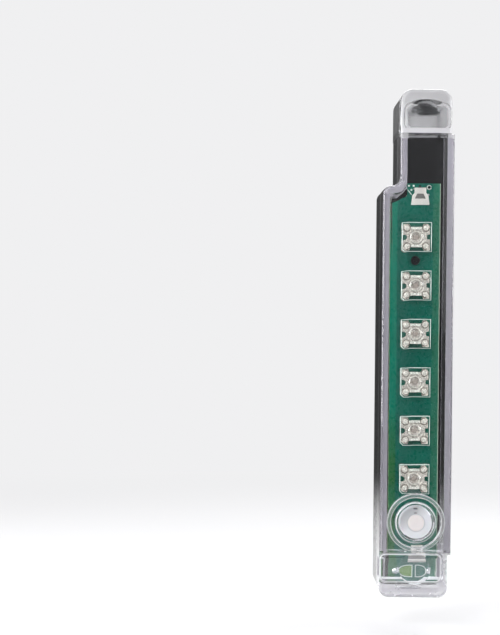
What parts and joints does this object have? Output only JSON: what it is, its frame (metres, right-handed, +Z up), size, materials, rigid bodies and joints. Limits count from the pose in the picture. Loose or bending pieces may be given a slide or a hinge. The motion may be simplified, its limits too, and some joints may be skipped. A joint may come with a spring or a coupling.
{
  "type": "bike underglow light bar",
  "caption": "Slim clear-fronted light bar that straps along a bike's tube, with a row of square lamps on a green board, a push button and a hinged battery door.",
  "frame": {"origin": "centre of the flat back face that lies on the bike's tube", "axes": "+Z up the bar towards the offset neck, +X to the right seen from the front, lamps face -Y"},
  "size_m": [0.0176, 0.024, 0.126],
  "materials": {
    "clear_plastic": "clear moulded polycarbonate, polished",
    "black_plastic": "black moulded plastic, glossy deck",
    "seal_rubber": "soft black rubber",
    "board_green": "green solder resist over glass fibre board",
    "solder": "bright tin solder",
    "chip_black": "black moulded epoxy",
    "plated_metal": "tin plated spring sheet",
    "capacitor_tan": "tan ceramic",
    "spring_steel": "nickel plated steel",
    "white_plastic": "white moulded plastic, satin",
    "screw_steel": "plated steel",
    "insert_brass": "turned brass",
    "lead_silver": "silver plated lead frame",
    "lamp_die": "pale chip in the cup",
    "lamp_epoxy": "water clear epoxy",
    "cell_steel": "nickel plated steel",
    "cell_sleeve": "plain dark printed sleeve with a light band"
  },
  "bodies": {
    "light_body": {"front_cover": "clear_plastic", "rear_housing": "black_plastic", "cover_seal": "seal_rubber", "circuit_board": "board_green", "board_solder": "solder", "controller_chip": "chip_black", "chip_pins": "plated_metal", "resistor_1": "chip_black", "resistor_2": "chip_black", "capacitor": "capacitor_tan", "upper_contact": "plated_metal", "lower_contact": "plated_metal", "battery_spring": "spring_steel", "switch_body": "chip_black", "switch_frame": "plated_metal", "hinge_pin": "spring_steel", "screw_insert": "insert_brass", "lamp_1_frame": "lead_silver", "lamp_1_die": "lamp_die", "lamp_1_lens": "lamp_epoxy", "lamp_2_frame": "lead_silver", "lamp_2_die": "lamp_die", "lamp_2_lens": "lamp_epoxy", "lamp_3_frame": "lead_silver", "lamp_3_die": "lamp_die", "lamp_3_lens": "lamp_epoxy", "lamp_4_frame": "lead_silver", "lamp_4_die": "lamp_die", "lamp_4_lens": "lamp_epoxy", "lamp_5_frame": "lead_silver", "lamp_5_die": "lamp_die", "lamp_5_lens": "lamp_epoxy", "lamp_6_frame": "lead_silver", "lamp_6_die": "lamp_die", "lamp_6_lens": "lamp_epoxy", "cell_1_can": "cell_steel", "cell_1_sleeve": "cell_sleeve", "cell_1_terminal": "cell_steel", "cell_2_can": "cell_steel", "cell_2_sleeve": "cell_sleeve", "cell_2_terminal": "cell_steel"},
    "mode_button": {"button_cap": "white_plastic", "switch_plunger": "chip_black"},
    "door": {"battery_door": "black_plastic"},
    "captive_screw": {"door_screw": "screw_steel", "door_screw_clip": "spring_steel"}
  },
  "joints": [
    {"name": "button_press", "type": "slide", "parent": "light_body", "child": "mode_button", "axis": [0, 1, 0], "range_m": [0, 0.0005], "stiffness_N_per_m": 2000, "springref_m": -0.0003},
    {"name": "door_swing", "type": "hinge", "parent": "light_body", "child": "door", "pos_m": [0, -0.0018, -0.0572], "axis": [-1, 0, 0], "range_deg": [0, 95]},
    {"name": "screw_turn", "type": "hinge", "parent": "door", "child": "captive_screw", "pos_m": [0.0021, -0.0015, 0.046], "axis": [0, 1, 0], "continuous": true}
  ]
}
